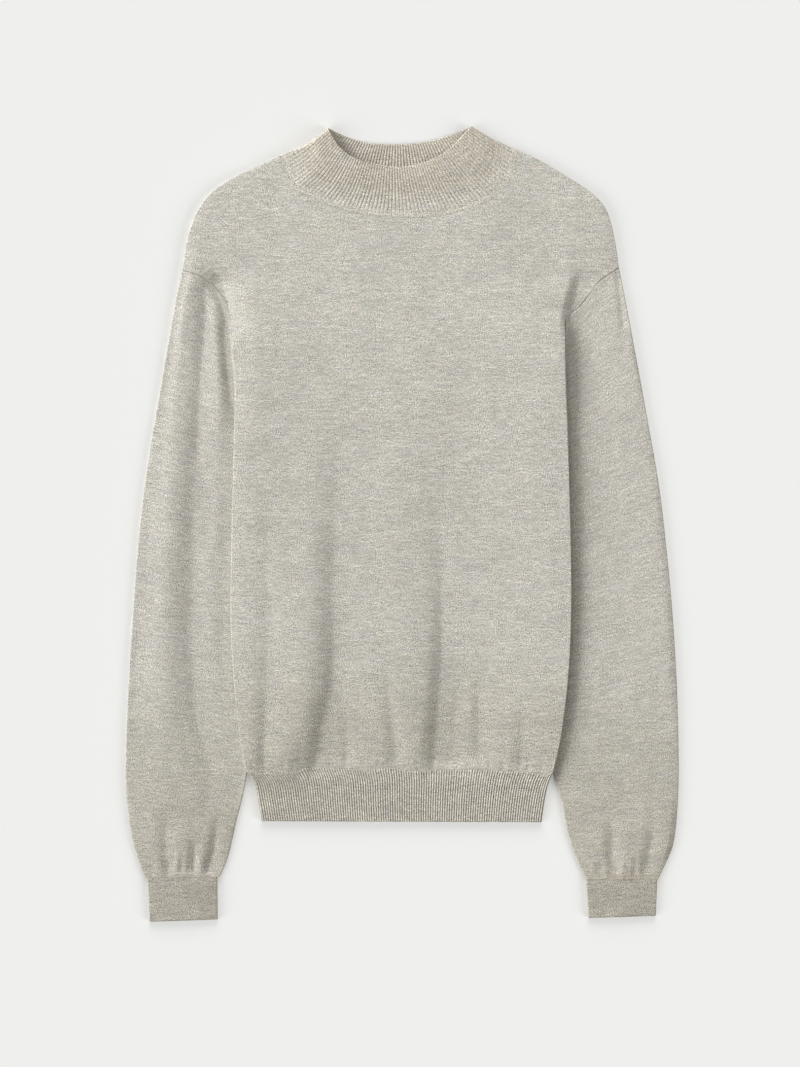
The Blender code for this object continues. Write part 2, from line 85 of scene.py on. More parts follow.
# Outlines, as (x, y) points for a smooth curve: side folds from the hem to the armpit,
# armholes from the armpit to the shoulder, shoulder folds from the armhole to the neck
HEM_Y = -228.0
BODY_SIDES = {
    "left": ((-145, HEM_Y), (-150.2, -200), (-154.3, -165), (-157.2, -130), (-159, -90),
        (-158.6, -30), (-156, 80), (-155.2, 120), (-157, 155), (-159.2, 185), (-163, 206)),
    "right": ((139, HEM_Y), (145.3, -200), (150.1, -165), (153.4, -130), (155.2, -90),
        (155.2, -30), (152.3, 80), (150.8, 120), (149.8, 155), (149.6, 191)),
}
ARMHOLES = {
    "left": ((-163, 206), (-171, 216.5), (-184, 228), (-204, 235)),
    "right": ((149.6, 191), (165, 204), (180, 224), (199.5, 237)),
}
SHOULDERS = {
    "left": ((-204, 235), (-199, 266), (-191, 288), (-179, 305), (-158, 320), (-131, 332.6),
        (-116, 340)),
    "right": ((199.5, 237), (196, 261), (189, 288), (177, 304), (152, 321), (125, 337),
        (108, 345)),
}

# Collar: its side folds from the neck seam up, and the seams and lips from left to right
COLLAR_SIDES = {
    "left": ((-116, 340), (-93, 349.5), (-69.4, 366.4)),
    "right": ((108, 345), (85, 355), (62.9, 367.9)),
}
FRONT_NECK_SEAM = ((-116, 340), (-106, 323), (-100, 309), (-85, 302), (-66, 293.5),
    (-40, 286.5), (-6, 283.6), (30, 284.5), (60, 291.5), (82, 301), (96, 313), (104, 326),
    (108, 345))
BACK_NECK_SEAM = ((-116, 340), (-98, 322), (-60, 309), (-6, 305), (48, 309), (92, 325),
    (108, 345))
FRONT_LIP = ((-69.4, 366.4), (-56.5, 346), (-39, 336), (-6, 330), (13, 332.4), (27, 337),
    (42, 346), (62.9, 367.9))
BACK_LIP = ((-69.4, 366.4), (-39, 354), (-6, 351.3), (22, 353.7), (41, 359), (62.9, 367.9))

# Hem band: its side folds, from the body down
HEM_SIDES = {
    "left": ((-145, HEM_Y), (-138, -237), (-134, -255), (-130.7, -274)),
    "right": ((139, HEM_Y), (134.3, -239), (130.5, -257), (128, -275)),
}

# Sleeves: the outer fold from shoulder to cuff, and the inner fold from the hem to the cuff
SLEEVE_OUTER = {
    "left": ((-204, 235), (-210, 208), (-223, 134), (-236, 57), (-244, -8), (-250.6, -93),
        (-255, -169), (-256.5, -236), (-254.3, -264), (-249.8, -292), (-242.3, -317),
        (-238, -326.5)),
    "right": ((199.5, 237), (203.5, 218), (215.6, 154), (226, 97), (237, 33), (244, -27),
        (249, -81), (253, -146), (254.8, -222), (253.5, -264), (249.6, -296), (240, -319),
        (235.5, -328)),
}
SLEEVE_INNER = {
    "left": ((-149, -255), (-153.6, -273), (-161, -305), (-165.3, -317), (-169.5, -325.5)),
    "right": ((146, -255), (150, -277), (158, -303), (165, -319), (171, -328)),
}
CUFFS = {
    "left": (((-236, -326.5), (-171.5, -325.5)), ((-234.3, -367), (-171.3, -364.8))),
    "right": (((235, -328), (169, -328)), ((233.5, -361.5), (171.2, -363.5))),
}

# How high the body's side folds ride over the sleeves, how high the middle of the front
# stands, and how far each sleeve's inner fold reaches in under the body, by height up it
SIDE_LIFT = ((-275, 0), (-250, 0.8), (HEM_Y, 2.9), (-200, 4.6), (-165, 5.5), (-120, 5.8),
    (160, 5.8), (206, 2.6), (235, 0))
MIDDLE_LIFT = ((-275, 0), (-250, 0.6), (HEM_Y, 2.2), (-165, 4.4), (40, 4.4), (330, 0))
SLEEVE_TUCK = ((HEM_Y, 0.7), (-200, 3.4), (-165, 4.0), (115, 4.0), (142, 0.8), (158, -0.15),
    (206, -0.15))
TUCK_STATIONS = (200, 194, 187, 180, 172, 165, 158, 151, 145, 138, 130, 115, 90, 60, 0, -60,
    -120, -165, -200, HEM_Y)

# Creases: widths to the left and to the right, depth, how far the sides curve, and a path of
# (x, y, strength) from the top down.  Most look like steps in the cloth: they fall away on
# their left and rise gently on their right.
FRONT_CREASES = (
    (13, 26, 2.3, 2, ((-122, 70, 0), (-124, 20, 0.3), (-125, -50, 0.38), (-125, -125, 0.45),
     (-126.7, -185, 0.75), (-128.6, -213, 1), (-128, -227, 1))),
    (24, 150, 3.4, 2, ((-60, 110, 0), (-61, 60, 0.35), (-61, 23, 0.5), (-63, -51, 0.75),
     (-63, -125, 0.9), (-64, -153, 0.95), (-72, -185, 1), (-77, -213, 1), (-80, -227, 1))),
    (60, 26, -2.2, 2, ((-80, 110, 0), (-81, 60, 0.35), (-81, 23, 0.5), (-83, -51, 0.7),
     (-84, -125, 0.9), (-86, -153, 0.95), (-92, -185, 0.9), (-97, -213, 0.8),
     (-100, -227, 0.6))),
    (10, 60, 1.0, 2, ((-64, -80, 0), (-64.5, -125, 0.8), (-66, -153, 1), (-75, -185, 1),
     (-79.4, -213, 1), (-82, -227, 1))),
    (7, 10, 0.4, 2, ((-96, -188, 0), (-96, -213, 1), (-97, -227, 1))),
    (10, 14, 0.9, 2, ((-52, -165, 0), (-51.8, -185, 0.8), (-51.8, -213, 1),
     (-52, -226, 0.4))),
    (14, 20, 2.2, 2, ((-16, -90, 0), (-14, -150, 0.5), (-10.2, -185, 0.8), (-5.6, -213, 1),
     (-5, -227, 1))),
    (44, 200, 3.0, 2, ((32, 140, 0), (33, 70, 0.45), (34, 23, 0.65), (34, -51, 0.9),
     (34, -125, 1), (32, -185, 1), (29, -227, 0.8))),
    (13, 200, 2.4, 2, ((36, 20, 0), (36, -40, 0.5), (36.5, -90, 0.75), (36.5, -125, 0.9),
     (34, -153, 1), (31.5, -185, 1), (29.5, -213, 1), (28.5, -227, 0.8))),
    (60, 16, -1.0, 2, ((23, -20, 0), (23, -70, 0.5), (23, -125, 0.8), (21, -153, 1),
     (19, -185, 1), (17, -227, 1))),
    (36, 150, 1.1, 1.2, ((63, -60, 0), (62, -110, 0.7), (59, -153, 1), (57, -213, 1),
     (57, -227, 1))),
    (8, 20, 0.55, 2, ((52, -110, 0), (50, -153, 0.8), (47, -185, 1), (47.2, -205, 0.8),
     (47, -220, 0))),
    (10, 50, 1.4, 2, ((71, -120, 0), (70.3, -153, 0.6), (70.3, -190, 1), (70.3, -212, 0.9),
     (70, -224, 0))),
    (11, 50, 1.8, 2, ((111, -150, 0), (110.5, -180, 0.5), (110, -213, 1), (110, -227, 1))),
)
SHOULDER_CREASES = (
    (9, 28, -1.5, 2, ((-188, 285, 0), (-191, 262, 0.3), (-194, 244, 0.7), (-195.5, 226, 1),
     (-201, 204, 0.9), (-206, 170, 0.4), (-210, 140, 0))),
    (13, 24, 3.1, 2, ((-181.5, 246, 0), (-181.8, 232, 0.25), (-182.2, 219, 0.75),
     (-182, 203, 1), (-183, 182, 0.9), (-185.2, 157, 0.75), (-187.5, 120, 0.65),
     (-189.5, 80, 0.5), (-191, 40, 0))),
    (14, 26, 6.6, 2, ((-175, 240, 0), (-172.8, 231, 0.35), (-170.5, 222, 0.75),
     (-166, 207.6, 1), (-160.6, 189, 0.72), (-157.8, 170, 0.95), (-156.8, 152, 1),
     (-156, 133, 0.85), (-155.5, 110, 0.45), (-155, 80, 0))),
    (8, 60, 4.8, 1.3, ((169, 250, 0), (165.5, 235, 0.3), (160.5, 217, 0.85), (156.5, 200, 1),
     (154.5, 190, 1), (154.5, 165, 0.9), (154, 130, 0.5), (154, 80, 0))),
    (16, 60, 1.0, 2, ((182, 245, 0), (177, 232, 0.6), (172, 217, 1), (170, 200, 1),
     (168, 180, 0.5), (166, 150, 0))),
)
SLEEVE_CREASES = (
    (24, 65, 2.8, 2, ((-188, 130, 0), (-190, 70, 0.6), (-193, 20, 0.8), (-194, -50, 0.9),
     (-194, -125, 1), (-188, -170, 0.8), (-182, -205, 0.4), (-180, -240, 0))),
    (16, 60, 1.7, 2, ((-180, -130, 0), (-183, -165, 0.6), (-180, -200, 1), (-178, -240, 1),
     (-177, -262, 0.6), (-176, -285, 0))),
    (30, 60, 2.0, 2, ((-152, 10, 0), (-152, -40, 0.6), (-150, -130, 0.9), (-147, -180, 1),
     (-142, -218, 0))),
    (5, 16, 1.0, 2, ((197, 240, 0), (199.5, 222, 1), (202.5, 190, 1), (205, 165, 0))),
    (13, 15, 2.3, 2, ((-219, -250, 0), (-219, -295, 1), (-217, -322, 0.8))),
    (7, 8, 1.9, 2, ((-193, -285, 0), (-193, -306, 1), (-193.5, -322, 0.9))),
    (8, 12, 2.1, 2, ((-171, -262, 0), (-174, -296, 1), (-179.5, -320, 1))),
    (10, 13, 2.0, 2, ((193, -262, 0), (193, -300, 1), (193, -322, 0.8))),
    (10, 16, 1.7, 2, ((232, -262, 0), (229, -296, 1), (224, -322, 0.9))),
)

# Where the hem's seam strays from its straight line, as (x, distance up)
HEM_WAVE = ((-145, 0), (-132, -1.0), (-100, -0.6), (-90, 3.4), (-62, 2.9), (-48, 2.6),
    (-33, 0.4), (-24, 2.4), (-8, 3.6), (4, 0.4), (18, 0.3), (32, 2.0), (52, 1.6), (78, 1.8),
    (100, -0.2), (118, -0.8), (130, -3.2), (139, 0))

GREY_MARL = (0.616, 0.5965, 0.538)
JERSEY_GAUGE = (1.45, 1.05)  # width of a wale and height of a course
RIB_WALE = 2.6
RIB_GAUGE = (RIB_WALE, 1.15)
SHARP = math.radians(65)  # the least angle between faces that shows as an edge


# Curves and tables

def mix(start, end, share):
    return start + (end - start) * share


def smooth(low, high, value):
    """0 below low, 1 above high, and an S-curve between them."""
    share = np.clip((np.asarray(value, float) - low) / (high - low), 0.0, 1.0)
    return share * share * (3 - 2 * share)


def from_table(rows, key):
    """Read a two-column table, with an S-curve from each row to the next."""
    value = np.full(np.shape(key), float(rows[0][1]))
    for (low, before), (high, after) in zip(rows, rows[1:]):
        value += (after - before) * smooth(low, high, key)
    return value


def curve_through(points):
    """A smooth curve through the points, as a function of the share of its length."""
    points = np.array(points, float)
    steps = length(np.diff(points, axis=0))[:, 0]
    reach = np.concatenate(((0.0,), np.cumsum(steps)))
    slopes = np.empty_like(points)
    slopes[1:-1] = (points[2:] - points[:-2]) / (reach[2:] - reach[:-2])[:, None]
    slopes[0] = (points[1] - points[0]) / steps[0]
    slopes[-1] = (points[-1] - points[-2]) / steps[-1]

    def at(share):
        along = np.clip(share, 0.0, 1.0) * reach[-1]
        index = np.clip(np.searchsorted(reach, along) - 1, 0, len(points) - 2)
        span = steps[index][..., None]
        t = (along - reach[index])[..., None] / span
        return ((2 * t**3 - 3 * t**2 + 1) * points[index]
                + (t**3 - 2 * t**2 + t) * span * slopes[index]
                + (3 * t**2 - 2 * t**3) * points[index + 1]
                + (t**3 - t**2) * span * slopes[index + 1])

    return at


def part_of(curve, start, end):
    return lambda share: curve(mix(start, end, np.asarray(share, float)))


def straight(start, end):
    start, end = np.array(start, float), np.array(end, float)
    return lambda share: mix(start, end, np.asarray(share, float)[..., None])


def moved(curve, distance, step=0.004):
    """The curve moved to the left of its direction of travel."""

    def at(share):
        share = np.asarray(share, float)
        ahead = curve(np.minimum(share + step, 1)) - curve(np.maximum(share - step, 0))
        sideways = np.stack((-ahead[..., 1], ahead[..., 0]), axis=-1)
        return curve(share) + sideways * distance / length(sideways)

    return at


def ending_at(curve, end):
    """The curve with its last stretch eased over to end at a given place."""
    miss = end - curve(1.0)
    return lambda share: curve(share) + miss * np.asarray(share, float)[..., None]**12


def length(vectors):
    return np.linalg.norm(vectors, axis=-1, keepdims=True)


def running_total(steps):
    """The sum of the steps before each place in a row."""
    return np.concatenate((np.zeros((len(steps), 1)), np.cumsum(steps, axis=1)), axis=1)


def curve_length(curve):
    return float(length(np.diff(curve(np.linspace(0, 1, 400)), axis=0)).sum())


# The body's outline, in curves

side_folds = {side: curve_through(BODY_SIDES[side]) for side in SIDES}
armholes = {side: curve_through(ARMHOLES[side]) for side in SIDES}
shoulders = {side: part_of(curve_through(SHOULDERS[side]), 0, 0.997) for side in SIDES}
collar_folds = {side: part_of(curve_through(COLLAR_SIDES[side]), 0.006, 1) for side in SIDES}
hem_folds = {side: part_of(curve_through(HEM_SIDES[side]), 0.002, 1) for side in SIDES}
side_points = {side: side_folds[side](np.linspace(0, 1, 200)) for side in SIDES}

fold_places = np.concatenate([
    curves[side](np.linspace(0, 1, 1 + round(curve_length(curves[side]) / 0.4)))
    for side in SIDES for curves in (hem_folds, side_folds, shoulders, collar_folds)])
fold_search = KDTree(len(fold_places))
for number, (fold_x, fold_y) in enumerate(fold_places):
    fold_search.insert((fold_x, fold_y, 0), number)
fold_search.balance()


def nearest_fold(points):
    """The nearest place on the folds to each point."""
    found = [fold_search.find((x, y, 0))[1] for x, y in points.reshape(-1, 2)]
    return fold_places[found].reshape(points.shape)


def side_x(side, y):
    """Where a side fold lies, at a height up the body."""
    return np.interp(y, side_points[side][:, 1], side_points[side][:, 0])


def side_lift(x, y):
    """How high the body's side folds ride over the sleeves."""
    return from_table(SIDE_LIFT, y) * (1 + RIGHT_LIFT * smooth(-40, 120, x))


def beside_fold(x, y):
    """1 on the body's side folds, and 0 where it lies flat on the table."""
    inside = np.minimum(x - side_x("left", y), side_x("right", y) - x)
    return 1 - smooth(4, LIFT_REACH, inside)


# Relief of the cloth's upper face

def waves(x, y, size, seed):
    """Gentle unevenness, from about -1 to 1, with bumps of a given size."""
    spots = np.stack((x, y), axis=-1).reshape(-1, 2) / size
    heights = [noise.noise((a, b, seed)) for a, b in spots]
    return np.array(heights).reshape(np.shape(x)) * 1.6


def creases(x, y, table):
    """How far these creases lower the cloth's upper face."""
    lowered = np.zeros(np.shape(x))
    for left, right, depth, curve, path in table:
        path_x, path_y, strength = np.array(path[::-1], float).T
        middle = np.interp(y, path_y, path_x)
        strength = np.interp(y, path_y, strength)
        strength *= strength * (3 - 2 * strength)
        rounding = ROUNDING * left
        away = np.sqrt((x - middle)**2 + rounding**2) - rounding
        away = away / np.where(x < middle, left, right)
        lowered += depth * strength * np.clip(1 - away, 0, 1)**curve
    return lowered


def unevenness(x, y):
    return 0.6 * waves(x, y, 70, 3.0) + 0.16 * waves(x, y, 21, 8.0)


def front_relief(x, y):
    return unevenness(x, y) - creases(x, y, FRONT_CREASES)


def at_least(least, value):
    """The value, eased so as not to fall below the least one."""
    return (value + least + np.sqrt((value - least)**2 + 0.09)) / 2


def hem_seam(x):
    """The height up the body at which the hem is sewn on."""
    return HEM_Y + from_table(HEM_WAVE, x)


def body_heights(x, y):
    """The body's underside and upper face, and the height at which it folds over."""
    lift = side_lift(x, y)
    near = beside_fold(x, y)
    pressed = creases(x, y, SHOULDER_CREASES) * (0.2 + 0.8 * smooth(165, 190, y))
    low = np.maximum(lift * near - pressed, 0)
    above_hem = y - hem_seam(x)
    slope = 1 - np.clip((x - side_x("left", y)) / SLOPE_REACH, 0, 1)
    slope = LEFT_SLOPE * slope**2 * smooth(180, 110, y) * smooth(0, 20, above_hem)
    billow = BILLOW * smooth(1, 13, above_hem) * smooth(90, 14, above_hem)
    gathers = GATHERS * waves(x, y * 0.1, 5.0, 14.0)
    gathers = gathers * smooth(0, 4, above_hem) * smooth(17, 5, above_hem)
    high = mix(HEM_DEPTH, BODY_DEPTH, smooth(0, 6, above_hem))
    high = high + lift * near + from_table(MIDDLE_LIFT, y) * (1 - near)
    high = high - pressed - slope + billow + gathers
    high = high + front_relief(x, y) * mix(SEAM_SHARE, 1, smooth(0, 10, above_hem))
    high = at_least(low + THINNEST, high)
    return low, high, np.minimum(low + BODY_DEPTH / 2, (low + high) / 2)


def hem_heights(x, y):
    near = beside_fold(x, y)
    low = side_lift(x, y) * near
    by_seam = smooth(-14, 0, y - hem_seam(x))
    high = low + HEM_DEPTH + from_table(MIDDLE_LIFT, y) * (1 - near)
    high = high + SEAM_SHARE * front_relief(x, y) * by_seam
    high = high + 0.25 * waves(x, y, 45, 5.0) * (1 - by_seam)
    return low, high, low + HEM_DEPTH / 2


def front_collar_heights(from_seam):
    """The front collar's heights: the body's at its seam, and its own at its lip."""
    rise = smooth(0, 40, from_seam)

    def heights(x, y):
        _, high, _ = body_heights(x, y)
        own = COLLAR_DEPTH + COLLAR_TILT * smooth(10, -50, x) + 0.2 * waves(x, y, 40, 6.0)
        return 0.0 * x, mix(high, own, rise), 3.45 + 0.3 * rise

    return heights


def back_collar_heights(x, y):
    low = 1.2 * smooth(328, 352, y) * smooth(-66, -20, x) * smooth(72, 47, x)
    return low, low + COLLAR_DEPTH, 3.7 + 0 * x


# Making the pieces

def added(name, data):
    """A new object in the scene."""
    thing = bpy.data.objects.new(name, data)
    bpy.context.scene.collection.objects.link(thing)
    return thing


ON_FOLD = 0.25  # nearer than this, cloth counts as lying on the fold itself


def fold_roll(fold):
    """How far the body's cloth takes to fold over: least at the armpits."""
    roll = mix(BODY_ROLL, COLLAR_ROLL, smooth(344, 358, fold[..., 1:]))
    for side in SIDES:
        away = length(fold - np.array(ARMHOLES[side][0], float))
        tight = mix(ARMPIT_ROLL, BODY_ROLL, smooth(14, 44, away))
        roll = np.minimum(roll, np.where(away < 44, tight, COLLAR_ROLL))
    return roll


def turned_cloth(flat, inwards, heights, is_upper, depth, lift=0.0):
    """Places on a flat cloth, once it is turned over at its nearest fold.

    inwards is the way in from the fold, for places on it.  depth is how far into the wall a
    place is, and lift how far its face stands up.
    """
    fold = nearest_fold(flat)
    offset = flat - fold
    distance = length(offset)
    on_fold = distance < ON_FOLD
    on_fold[:, (0, -1)] = True
    offset = np.where(on_fold, inwards, offset)
    distance = np.where(on_fold, 0.0, distance)
    offset = offset / length(offset)
    roll = fold_roll(fold)
    arc = roll * math.pi / 2
    turn = np.clip(distance / arc, 0, 1) * math.pi / 2
    reach = np.where(distance < arc, mix(depth, roll, 1 - np.cos(turn)),
                     distance - (arc - roll) * (1 - smooth(arc, arc + ROLL_TAKE_UP, distance)))
    spots = fold + offset * reach
    turn = turn[..., 0]
    low, high, middle = heights(spots[..., 0], spots[..., 1])
    middle = middle + (SEAM / 2 if is_upper else -SEAM / 2)
    drop = SHOULDER_DROP * np.clip(1 - distance[..., 0] / DROP_REACH, 0, 1)**2
    drop = drop * smooth(206, 240, fold[..., 1]) * smooth(352, 338, fold[..., 1])
    face = high - depth + lift - drop if is_upper else low + depth - lift
    z = np.maximum(mix(middle, face, np.sin(turn)), 0)
    return np.concatenate((spots, z[..., None]), axis=-1)


def finished(name, grid, outer, inner, knit, cloth):
    """A piece of the sweater: a wall of knit between its outer and its inner face.

    Each vertex of the grid stands at (column, row, 0).  knit is how far across and along the
    knit each place is.
    """
    made = bmesh.ops.extrude_face_region(grid, geom=grid.faces[:])["geom"]
    inside = {item for item in made if isinstance(item, bmesh.types.BMVert)}
    last = outer.shape[1]
    closed = knit.shape[1] > last
    places = [(round(v.co.x), round(v.co.y), v in inside) for v in grid.verts]
    layer = grid.loops.layers.uv.new("knit")
    grid.verts.index_update()
    for face in grid.faces:
        spots = [places[loop.vert.index] for loop in face.loops]
        wraps = closed and max(spot[0] for spot in spots) - min(s[0] for s in spots) > 1
        for loop, (column, row, _) in zip(face.loops, spots):
            if wraps and column == 0:
                column = last
            loop[layer].uv = knit[row, column] * MM
    for vertex, (column, row, is_inside) in zip(grid.verts, places):
        spot = inner[row, column] if is_inside else outer[row, column]
        vertex.co = (spot + TO_MIDDLE) * MM
    bmesh.ops.recalc_face_normals(grid, faces=grid.faces)
    if grid.calc_volume(signed=True) < 0:
        bmesh.ops.reverse_faces(grid, faces=grid.faces)
    mesh = bpy.data.meshes.new(name)
    grid.to_mesh(mesh)
    grid.free()
    mesh.shade_smooth()
    mesh.set_sharp_from_angle(angle=SHARP)
    mesh.materials.append(cloth)
    piece = added(name, mesh)
    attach(piece, "root")
    return piece


def flat_grid(columns, rows):
    """An open sheet of cells, its vertices at whole numbers of columns and rows."""
    grid = bmesh.new()
    bmesh.ops.create_grid(grid, x_segments=columns, y_segments=rows, size=0.5)
    for vertex in grid.verts:
        vertex.co = ((vertex.co.x + 0.5) * columns, (vertex.co.y + 0.5) * rows, 0)
    return grid


def tube_grid(columns, rows):
    """A sheet joined into a tube, each vertex at its column and row."""
    grid = bmesh.new()
    bmesh.ops.create_cone(grid, cap_ends=False, segments=columns, radius1=1, radius2=1,
                          depth=1)
    lengthwise = [edge for edge in grid.edges
                  if abs(edge.verts[0].co.z - edge.verts[1].co.z) > 0.5]
    bmesh.ops.subdivide_edges(grid, edges=lengthwise, cuts=rows - 1, use_grid_fill=True)
    for vertex in grid.verts:
        turn = math.atan2(vertex.co.y, vertex.co.x) / (2 * math.pi)
        vertex.co = (round(turn * columns) % columns, (vertex.co.z + 0.5) * rows, 0)
    return grid


def neck_edge(seam, distance):
    """A neck seam, moved up or down for its space, and cut short of the shoulder folds."""
    return part_of(moved(curve_through(seam), distance), 0.004, 0.996)


ROLL_STEPS = 6  # columns round a side fold
ROLL_STRIDE = 0.35  # their width on the flat cloth


def stepped(curve, columns):
    """Places along a curve: close steps at its two ends, and even ones between."""
    near = np.arange(ROLL_STEPS + 1) * ROLL_STRIDE / curve_length(curve)
    far = np.linspace(near[-1], 1 - near[-1], columns - 2 * ROLL_STEPS + 1)
    return curve(np.concatenate((near[:-1], far, 1 - near[::-1][1:])))


def between(edges, across, up):
    """Fill in a grid between its edges: bottom, top, left and right."""
    u, v = across[None, :, None], up[:, None, None]
    bottom, top, left, right = edges
    corners = ((1 - u) * (1 - v) * bottom[0] + u * (1 - v) * bottom[-1]
               + (1 - u) * v * top[0] + u * v * top[-1])
    return ((1 - v) * bottom[None] + v * top[None] + (1 - u) * left[:, None]
            + u * right[:, None] - corners)


# Evening: from every eighth row and column to them all, with this many rounds each
EVENING = ((8, 260), (4, 60), (2, 40), (1, 30))


def evened(edges):
    """Fill in a grid between its edges as a soap film would."""
    rows, columns = len(edges[2]) - 1, len(edges[0]) - 1
    spots = None
    for level, rounds in EVENING:
        v = np.arange(0, rows + 1, level)
        u = np.arange(0, columns + 1, level)
        some = [edge[at] for edge, at in zip(edges, (u, u, v, v))]
        if spots is None:
            spots = between(some, u / columns, v / rows)
        else:
            finer = np.empty((len(v), spots.shape[1], 2))
            finer[::2] = spots
            finer[1::2] = (spots[1:] + spots[:-1]) / 2
            spots = np.empty((len(v), len(u), 2))
            spots[:, ::2] = finer
            spots[:, 1::2] = (finer[:, 1:] + finer[:, :-1]) / 2
        spots[0], spots[-1], spots[:, 0], spots[:, -1] = some
        for _ in range(rounds):
            spots[1:-1, 1:-1] = (spots[:-2, 1:-1] + spots[2:, 1:-1] + spots[1:-1, :-2]
                                 + spots[1:-1, 2:]) / 4
    return spots


def body_panel(seam, columns, side_rows, armhole_rows, shoulder_rows):
    """A grid of places on the flat cloth of the front or the back, and ways into it."""
    top = neck_edge(seam, -SEAM / 2)
    edges = []
    for side, neck_end in (("left", 0.0), ("right", 1.0)):
        shoulder = ending_at(shoulders[side], top(neck_end))
        edge = np.concatenate((
            part_of(side_folds[side], SEAM / 800, 1)(np.linspace(0, 1, side_rows + 1))[:-1],
            armholes[side](np.linspace(0, 1, armhole_rows + 1))[:-1],
            shoulder(np.linspace(0, 1, shoulder_rows + 1))))
        padded = np.pad(edge, ((5, 5), (0, 0)), mode="edge")
        ahead = padded[10:] - padded[:-10]
        way = np.stack((-ahead[:, 1], ahead[:, 0]), axis=-1) * OUTWARDS[side]
        edges.append((edge, way / length(way)))
    (left, from_left), (right, from_right) = edges
    bottom_row = stepped(straight(left[0], right[0]), columns)
    bottom_row[:, 1] += from_table(HEM_WAVE, bottom_row[:, 0])
    top_row = stepped(top, columns)
    spots = np.empty((len(left), columns + 1, 2))
    inner = slice(ROLL_STEPS, columns - ROLL_STEPS + 1)
    inner_left = left + from_left * ROLL_STEPS * ROLL_STRIDE
    inner_right = right + from_right * ROLL_STEPS * ROLL_STRIDE
    for inner_edge, at in ((inner_left, ROLL_STEPS), (inner_right, columns - ROLL_STEPS)):
        inner_edge[0], inner_edge[-1] = bottom_row[at], top_row[at]
    spots[:, inner] = evened((bottom_row[inner], top_row[inner], inner_left, inner_right))
    for step in range(ROLL_STEPS):
        spots[:, step] = mix(left, inner_left, step / ROLL_STEPS)
        spots[:, columns - step] = mix(right, inner_right, step / ROLL_STEPS)
    spots[0], spots[-1] = bottom_row, top_row
    ways = np.zeros_like(spots)
    ways[:, :columns // 2] = from_left[:, None]
    ways[:, columns // 2:] = from_right[:, None]
    return spots, ways


def make_body_panel(name, seam, is_upper, counts, cloth):
    spots, ways = body_panel(seam, *counts)
    outer = turned_cloth(spots, ways, body_heights, is_upper, 0.0)
    inner = turned_cloth(spots, ways, body_heights, is_upper, JERSEY)
    rows, columns = spots.shape[0] - 1, spots.shape[1] - 1
    taken_up = length(np.diff(outer, axis=1)) - length(np.diff(spots, axis=1))
    taken_up = running_total(np.maximum(taken_up[..., 0], 0))
    knit = spots.copy()
    knit[..., 0] += taken_up - taken_up[:, columns // 2][:, None]
    return finished(name, flat_grid(columns, rows), outer, inner, knit, cloth)


# The ribbed collar and hem

COLLAR_RIBS = 72  # ribs across the front of the collar
BACK_COLLAR_RIBS = 60
HEM_RIBS = 120
COLUMNS_PER_RIB = 8
BACK_HEM_COLUMNS = 6  # columns to a rib on the back of the hem
COLLAR_RIB_RISE = 0.17  # how far a rib stands up over the middle of its wall
BACK_RIB_SHARE = 1.6  # how much further the ribs stand up on the back of the collar
HEM_RIB_RISE = 0.34
COLLAR_PLAIN = 9.0  # how far from the seam the collar's ribs take to stand out
HEM_PLAIN = 1.5
COLLAR_BEADS = 1.5  # links in the seam's ridge to a rib
HEM_BEADS = 0.5
EDGE_ROUND = 0.9  # how the lip, the hem's edge and the cuffs' edges round over

# Rows up a band, as shares of its height: close ones at its seam and at its free edge
BAND_ROWS = np.array((0, 0.012, 0.025, 0.04, 0.06, 0.09, 0.14, 0.2, 0.27, 0.34, 0.41, 0.48,
    0.55, 0.62, 0.69, 0.76, 0.82, 0.87, 0.91, 0.94, 0.96, 0.975, 0.986, 0.994, 1))


def edge_drop(distance):
    """How far a rounded free edge drops, a distance in from it."""
    inside = np.clip(EDGE_ROUND - distance, 0, EDGE_ROUND)
    return EDGE_ROUND - np.sqrt(EDGE_ROUND**2 - inside**2)


def ribs(across, seed):
    """The ribs' rise at places counted in ribs; no two are quite the same."""
    number = np.round(across)
    uneven = np.array([noise.noise((float(n) * 0.77, seed, 0.0)) for n in np.unique(number)])
    uneven = uneven[np.searchsorted(np.unique(number), number)]
    wave = 0.5 + 0.5 * np.cos(2 * math.pi * across)
    return (1 + 0.35 * uneven) * (2 * wave**0.8 - 1)


def band(outline, columns, rows):
    """A grid between four joined curves: bottom, top, left and right."""
    across = np.linspace(0, 1, columns + 1)
    edges = [curve(at) for curve, at in zip(outline, (across, across, rows, rows))]
    return between(edges, across, rows)


def make_band(name, spots, heights, is_upper, rib_count, rib_rise, from_edge, from_seam,
              plain, link, beads, cloth, shown_inside=False):
    """Half of the collar or the hem, with its ribs, rounded edge and linked seam.

    The ribs fade out over a plain width beside the seam.  link gives the height of the seam's
    ridge by place across, and beads its links to a rib.  A half that shows its inside has its
    ribs there.
    """
    rows, columns = spots.shape[0] - 1, spots.shape[1] - 1
    across = np.linspace(0, rib_count, columns + 1)[None] + 0 * spots[..., 0]
    rise = rib_rise * ribs(across, 2.0) * smooth(plain * 0.2, plain, from_seam)
    seam_ridge = link(spots[..., 0]) * np.exp(-((from_seam - 1.2) / 0.8)**2)
    rise = rise + seam_ridge * (0.6 + 0.4 * np.cos(2 * math.pi * across * beads))
    ways = np.zeros_like(spots)
    ways[:, :columns // 2] = (1.0, -0.3)
    ways[:, columns // 2:] = (-1.0, -0.3)
    drop = edge_drop(from_edge)
    lift = 0.0 if shown_inside else rise - drop
    outer = turned_cloth(spots, ways, heights, is_upper, 0.0, lift)
    inner = turned_cloth(spots, ways, heights, is_upper, RIB)
    if shown_inside:
        inner[..., 2] += rise - drop
    knit = np.stack((across * RIB_WALE, from_seam), axis=-1)
    return finished(name, flat_grid(columns, rows), outer, inner, knit, cloth)


